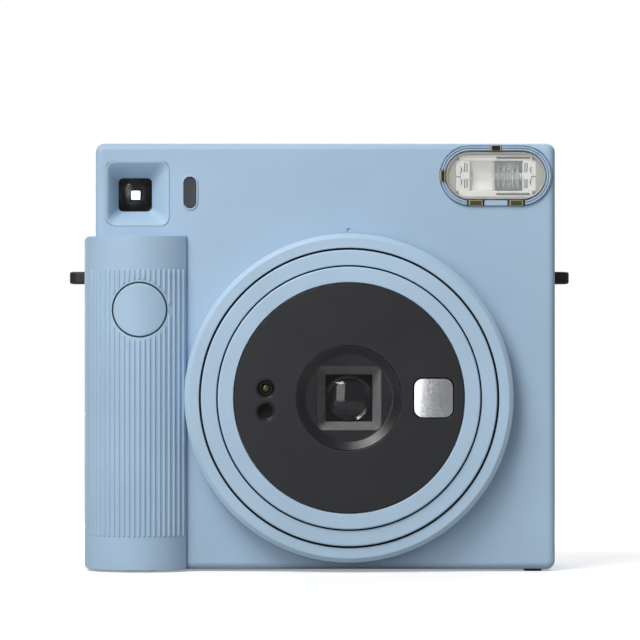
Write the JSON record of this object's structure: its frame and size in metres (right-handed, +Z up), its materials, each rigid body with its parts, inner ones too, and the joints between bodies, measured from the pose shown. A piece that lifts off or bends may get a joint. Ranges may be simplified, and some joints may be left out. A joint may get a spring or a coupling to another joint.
{
  "type": "instant camera",
  "caption": "Square-format instant film camera with a ribbed hand grip, a turning lens dial with nested barrels, a flash, a viewfinder and a hinged film door.",
  "frame": {"origin": "on the table, under the middle of the camera's box, strap lugs included", "axes": "+Z up, the lens looks along -Y, +X to the right as the lens side is faced"},
  "size_m": [0.141, 0.0576, 0.1186],
  "materials": {
    "blue_shell": "fine spark-eroded matt, light grey-blue",
    "blue_ring": "satin matt, slightly lighter blue",
    "black_plastic": "fine matt black",
    "dark_panel": "satin charcoal disc",
    "clear_lens": "polished optical plastic",
    "smoked_window": "smoked, polished",
    "silver_mirror": "polished convex mirror",
    "reflector_silver": "bright anodised",
    "steel": "plain steel",
    "brass_gear": "machined",
    "gear_plastic": "natural acetal",
    "board_green": "solder-masked board",
    "capacitor_sleeve": "shrink sleeve",
    "rubber_black": "matt rubber",
    "battery_wrap": "plain foil wrap",
    "counter_white": "printed white disc"
  },
  "bodies": {
    "camera_body": {"front_cover": "blue_shell", "rear_cover": "blue_shell", "grip_cover": "blue_shell", "strap_lugs": "black_plastic", "feet": "rubber_black", "case_screws": "steel", "viewfinder_bezel": "blue_shell", "viewfinder_tunnel": "black_plastic", "viewfinder_front_lens": "clear_lens", "viewfinder_eyepiece": "clear_lens", "eyepiece_frame": "black_plastic", "light_meter_window": "smoked_window", "flash_bezel": "blue_shell", "flash_window": "clear_lens", "flash_reflector": "reflector_silver", "flash_tube": "clear_lens", "flash_capacitor": "capacitor_sleeve", "main_circuit_board": "board_green", "shutter_switch": "black_plastic", "film_chamber": "black_plastic", "light_tunnel": "black_plastic", "roller_bracket": "steel", "drive_motor": "steel", "door_hinge_pin": "steel", "battery_holder": "black_plastic", "battery_cells": "battery_wrap", "battery_contacts": "steel", "battery_door_pin": "steel", "counter_axle": "black_plastic", "counter_window": "clear_lens"},
    "lens_dial": {"dial_ring": "blue_ring"},
    "barrel_outer": {"outer_barrel": "blue_ring"},
    "barrel_inner": {"inner_barrel": "blue_ring", "lens_panel": "dark_panel", "selfie_mirror": "silver_mirror", "exposure_sensor": "smoked_window", "distance_sensor": "smoked_window", "lens_hood": "black_plastic", "front_lens": "clear_lens", "rear_lens": "clear_lens", "lens_holder": "black_plastic", "shutter_plate": "black_plastic"},
    "blade_left": {"shutter_blade_left": "black_plastic"},
    "blade_right": {"shutter_blade_right": "black_plastic"},
    "release": {"shutter_button": "blue_shell"},
    "back_door": {"film_door": "blue_shell", "film_window": "smoked_window", "pressure_springs": "steel"},
    "latch": {"door_latch": "black_plastic"},
    "battery_lid": {"battery_door": "blue_shell"},
    "flap": {"exit_flap": "black_plastic"},
    "roller_front": {"front_roller": "steel", "front_roller_gear": "gear_plastic"},
    "roller_rear": {"rear_roller": "steel", "rear_roller_gear": "gear_plastic"},
    "idler": {"idler_gear": "gear_plastic"},
    "pinion": {"motor_pinion": "brass_gear"},
    "claw": {"pick_claw": "steel"},
    "counter": {"counter_dial": "counter_white"}
  },
  "joints": [
    {"name": "dial_turn", "type": "hinge", "parent": "camera_body", "child": "lens_dial", "pos_m": [0.0082, -0.022, 0.0481], "axis": [0, 1, 0], "range_deg": [0, 80]},
    {"name": "outer_barrel_slide", "type": "slide", "parent": "camera_body", "child": "barrel_outer", "axis": [0, -1, 0], "range_m": [0, 0.008]},
    {"name": "inner_barrel_slide", "type": "slide", "parent": "barrel_outer", "child": "barrel_inner", "axis": [0, -1, 0], "range_m": [0, 0.008]},
    {"name": "blade_left_swing", "type": "hinge", "parent": "barrel_inner", "child": "blade_left", "pos_m": [0.0047, -0.0187, 0.0551], "axis": [0, 1, 0], "range_deg": [0, 30]},
    {"name": "blade_right_swing", "type": "hinge", "parent": "barrel_inner", "child": "blade_right", "pos_m": [0.0117, -0.0191, 0.0551], "axis": [0, 1, 0], "range_deg": [-30, 0]},
    {"name": "shutter_press", "type": "slide", "parent": "camera_body", "child": "release", "axis": [0, 1, 0], "range_m": [0, 0.0015], "stiffness_N_per_m": 800, "springref_m": -0.0005},
    {"name": "film_door_hinge", "type": "hinge", "parent": "camera_body", "child": "back_door", "pos_m": [-0.0405, 0.027, 0.0569], "axis": [0, 0, 1], "range_deg": [0, 100]},
    {"name": "latch_slide", "type": "slide", "parent": "camera_body", "child": "latch", "axis": [0, 0, -1], "range_m": [0, 0.0035], "stiffness_N_per_m": 300, "springref_m": -0.001},
    {"name": "battery_door_hinge", "type": "hinge", "parent": "camera_body", "child": "battery_lid", "pos_m": [-0.0642, 0.018, 0.0279], "axis": [0, 0, -1], "range_deg": [0, 95]},
    {"name": "exit_flap_hinge", "type": "hinge", "parent": "camera_body", "child": "flap", "pos_m": [0.00825, 0.01035, 0.1172], "axis": [-1, 0, 0], "range_deg": [0, 75], "stiffness_Nm_per_rad": 0.0003, "springref_deg": -17.19},
    {"name": "front_roller_spin", "type": "hinge", "parent": "camera_body", "child": "roller_front", "pos_m": [0.00825, 0.00443, 0.105], "axis": [1, 0, 0], "continuous": true},
    {"name": "rear_roller_spin", "type": "hinge", "parent": "camera_body", "child": "roller_rear", "pos_m": [0.00825, 0.01257, 0.105], "axis": [1, 0, 0], "continuous": true},
    {"name": "idler_spin", "type": "hinge", "parent": "camera_body", "child": "idler", "pos_m": [-0.035, -0.00384, 0.09636], "axis": [1, 0, 0], "continuous": true},
    {"name": "pinion_spin", "type": "hinge", "parent": "camera_body", "child": "pinion", "pos_m": [-0.035, -0.005, 0.08577], "axis": [1, 0, 0], "continuous": true},
    {"name": "pick_claw_slide", "type": "slide", "parent": "camera_body", "child": "claw", "axis": [0, 0, 1], "range_m": [0, 0.006]},
    {"name": "counter_turn", "type": "hinge", "parent": "camera_body", "child": "counter", "pos_m": [-0.0512, 0.0231, 0.078], "axis": [0, 1, 0], "range_deg": [0, 300]}
  ],
  "couplings": [
    {"joint": "dial_turn", "follows": "outer_barrel_slide", "rad_per_m": 174.53},
    {"joint": "inner_barrel_slide", "follows": "outer_barrel_slide", "ratio": 1},
    {"joint": "blade_right_swing", "follows": "blade_left_swing", "ratio": -1},
    {"joint": "rear_roller_spin", "follows": "front_roller_spin", "ratio": -1},
    {"joint": "idler_spin", "follows": "front_roller_spin", "ratio": -0.53333},
    {"joint": "pinion_spin", "follows": "front_roller_spin", "ratio": 1.3333}
  ]
}
